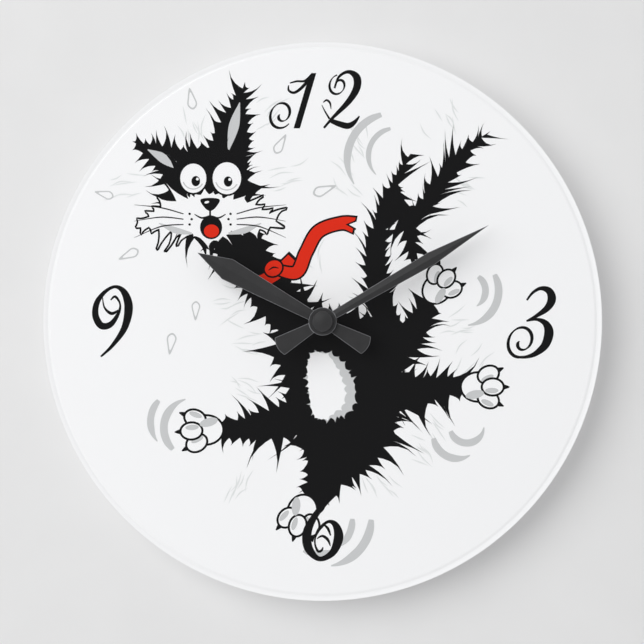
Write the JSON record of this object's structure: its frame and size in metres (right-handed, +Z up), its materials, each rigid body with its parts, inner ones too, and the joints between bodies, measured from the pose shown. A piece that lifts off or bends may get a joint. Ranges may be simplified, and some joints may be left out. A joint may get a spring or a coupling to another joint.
{
  "type": "wall clock",
  "caption": "Round wall clock: a clear acrylic dial printed on its back with a leaping cat and curly numerals, two dark hands, and a battery quartz movement on a steel hanging bracket.",
  "frame": {"origin": "on the hands' axis at the rear face of the movement's case, in the wall plane", "axes": "+X to the right as seen from the front, +Y into the wall, so the dial faces -Y, +Z up"},
  "size_m": [0.273, 0.0346, 0.273],
  "materials": {
    "clear_acrylic": "polished, clear",
    "printed_white": "satin print",
    "black_abs": "fine moulded texture",
    "brass": "turned",
    "nylon": "natural moulded",
    "circuit_green": "solder mask",
    "potting_black": "cured resin",
    "bright_steel": "rolled",
    "zinc_steel": "zinc plated",
    "copper_wire": "enamelled",
    "black_rubber": "matt",
    "charcoal_aluminium": "satin charcoal paint",
    "magnet_grey": "sintered",
    "battery_steel": "plated",
    "battery_label": "printed film"
  },
  "bodies": {
    "clock_body": {"acrylic_dial": "clear_acrylic", "printed_backing": "printed_white", "front_case": "black_abs", "rear_cover": "black_abs", "threaded_bush": "brass", "middle_plate": "nylon", "circuit_board": "circuit_green", "timing_chip": "potting_black", "quartz_crystal": "bright_steel", "coil_bobbin": "nylon", "coil_winding": "copper_wire", "coil_core": "bright_steel", "coil_leads": "copper_wire", "stator": "bright_steel", "positive_contact": "bright_steel", "negative_contact": "bright_steel", "negative_spring": "bright_steel", "hanger_bracket": "zinc_steel", "rubber_gasket": "black_rubber", "brass_washer": "brass", "hex_nut": "brass"},
    "minute_drive": {"minute_arbor": "brass", "minute_hand": "charcoal_aluminium", "minute_collet": "brass", "cap_nut": "charcoal_aluminium", "clutch_spring": "brass"},
    "hour_drive": {"hour_wheel": "nylon", "hour_hand": "charcoal_aluminium", "hour_collet": "brass"},
    "motion_gear": {"motion_wheel": "nylon"},
    "time_setter": {"setting_stem": "nylon", "setting_knob": "black_abs"},
    "second_gear": {"second_wheel": "nylon", "second_arbor": "bright_steel"},
    "fifth_gear": {"fifth_wheel": "nylon"},
    "rotor": {"rotor_pinion": "nylon", "rotor_magnet": "magnet_grey"},
    "third_gear": {"third_wheel": "nylon"},
    "centre_gear": {"centre_wheel": "nylon"},
    "battery": {"battery_can": "battery_steel", "battery_wrap": "battery_label"}
  },
  "joints": [
    {"name": "minute_spin", "type": "hinge", "parent": "clock_body", "child": "minute_drive", "pos_m": [0, -0.02, 0], "axis": [0, 1, 0], "continuous": true},
    {"name": "hour_spin", "type": "hinge", "parent": "clock_body", "child": "hour_drive", "pos_m": [0, -0.02, 0], "axis": [0, 1, 0], "continuous": true},
    {"name": "motion_wheel_spin", "type": "hinge", "parent": "clock_body", "child": "motion_gear", "pos_m": [-0.00167, -0.0123, 0.00945], "axis": [0, 1, 0], "continuous": true},
    {"name": "setting_knob_spin", "type": "hinge", "parent": "clock_body", "child": "time_setter", "pos_m": [0, -0.008, 0.01891], "axis": [0, 1, 0], "continuous": true},
    {"name": "second_wheel_spin", "type": "hinge", "parent": "clock_body", "child": "second_gear", "pos_m": [0, -0.0056, 0], "axis": [0, 1, 0], "continuous": true},
    {"name": "fifth_wheel_spin", "type": "hinge", "parent": "clock_body", "child": "fifth_gear", "pos_m": [0.00881, -0.0038, 0.00411], "axis": [0, 1, 0], "continuous": true},
    {"name": "rotor_spin", "type": "hinge", "parent": "clock_body", "child": "rotor", "pos_m": [0.01642, -0.007, 0.00766], "axis": [0, 1, 0], "continuous": true},
    {"name": "third_wheel_spin", "type": "hinge", "parent": "clock_body", "child": "third_gear", "pos_m": [-0.009, -0.0076, 0], "axis": [0, 1, 0], "continuous": true},
    {"name": "centre_wheel_spin", "type": "hinge", "parent": "clock_body", "child": "centre_gear", "pos_m": [0, -0.0098, 0], "axis": [0, 1, 0], "continuous": true},
    {"name": "battery_slide", "type": "slide", "parent": "clock_body", "child": "battery", "axis": [0, 1, 0], "range_m": [0, 0.025]}
  ],
  "couplings": [
    {"joint": "hour_spin", "follows": "minute_spin", "ratio": 0.083333},
    {"joint": "motion_wheel_spin", "follows": "minute_spin", "ratio": -0.33333},
    {"joint": "setting_knob_spin", "follows": "minute_spin", "ratio": 1},
    {"joint": "fifth_wheel_spin", "follows": "second_wheel_spin", "ratio": -5},
    {"joint": "rotor_spin", "follows": "second_wheel_spin", "ratio": 30},
    {"joint": "third_wheel_spin", "follows": "second_wheel_spin", "ratio": -0.13333},
    {"joint": "centre_wheel_spin", "follows": "second_wheel_spin", "ratio": 0.016667}
  ]
}
